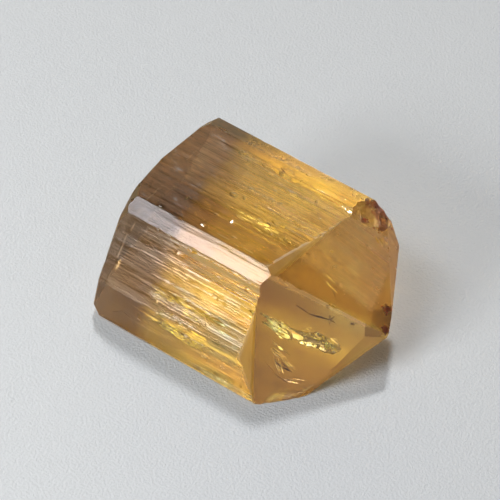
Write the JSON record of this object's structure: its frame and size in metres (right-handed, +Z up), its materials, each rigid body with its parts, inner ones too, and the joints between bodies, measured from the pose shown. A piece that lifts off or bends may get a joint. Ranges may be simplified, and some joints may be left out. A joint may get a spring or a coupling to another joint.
{
  "type": "topaz crystal",
  "caption": "Loose stubby golden topaz crystal: striated prism, wedge-shaped pointed end and cleaved base, resting on a flat prism face.",
  "frame": {"origin": "under the middle of the crystal's box, on the surface that it rests on", "axes": "+X along the crystal's long axis towards the pointed end, +Z up from the prism face that it rests on"},
  "size_m": [0.0144, 0.0108, 0.0057],
  "materials": {
    "golden_topaz": "clear golden, vitreous, smoky brown towards the base, fine striations on the prism"
  },
  "bodies": {
    "root": {"topaz_crystal": "golden_topaz"}
  },
  "joints": []
}
